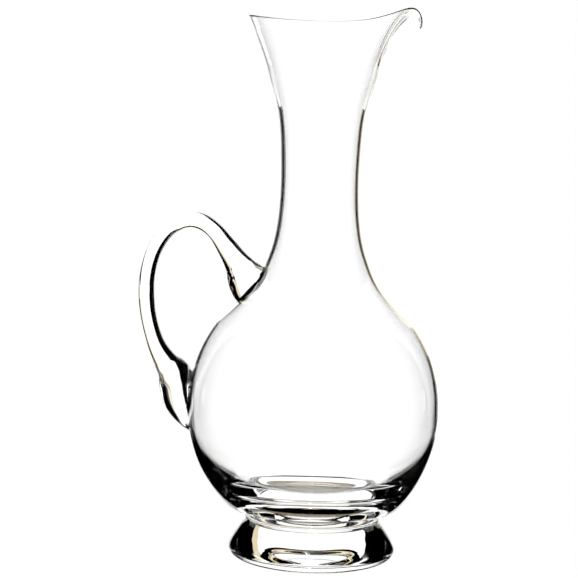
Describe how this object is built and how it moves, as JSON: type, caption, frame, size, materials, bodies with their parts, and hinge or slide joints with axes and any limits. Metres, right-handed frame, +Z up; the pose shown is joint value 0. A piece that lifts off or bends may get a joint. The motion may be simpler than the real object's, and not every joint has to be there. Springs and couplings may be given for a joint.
{
  "type": "wine decanter",
  "caption": "Clear glass wine decanter: round bowl, slender neck flaring to a pulled pouring lip, looped applied handle and a solid spreading foot.",
  "frame": {"origin": "middle of the whole decanter's box, on the table plane that the foot stands on; the vessel's axis is 14.95 mm towards +X from it", "axes": "+Z up, +X towards the pouring lip, the handle at -X, +Y to the pourer's left when the lip points away"},
  "size_m": [0.1767, 0.1468, 0.3222],
  "materials": {
    "vessel_glass": "clear, fire-polished",
    "foot_glass": "clear, thick, fire-polished, underside ground and polished",
    "handle_glass": "clear, drawn by hand, with tool marks where it joins"
  },
  "bodies": {
    "root": {"vessel": "vessel_glass", "foot": "foot_glass", "handle": "handle_glass"}
  },
  "joints": []
}
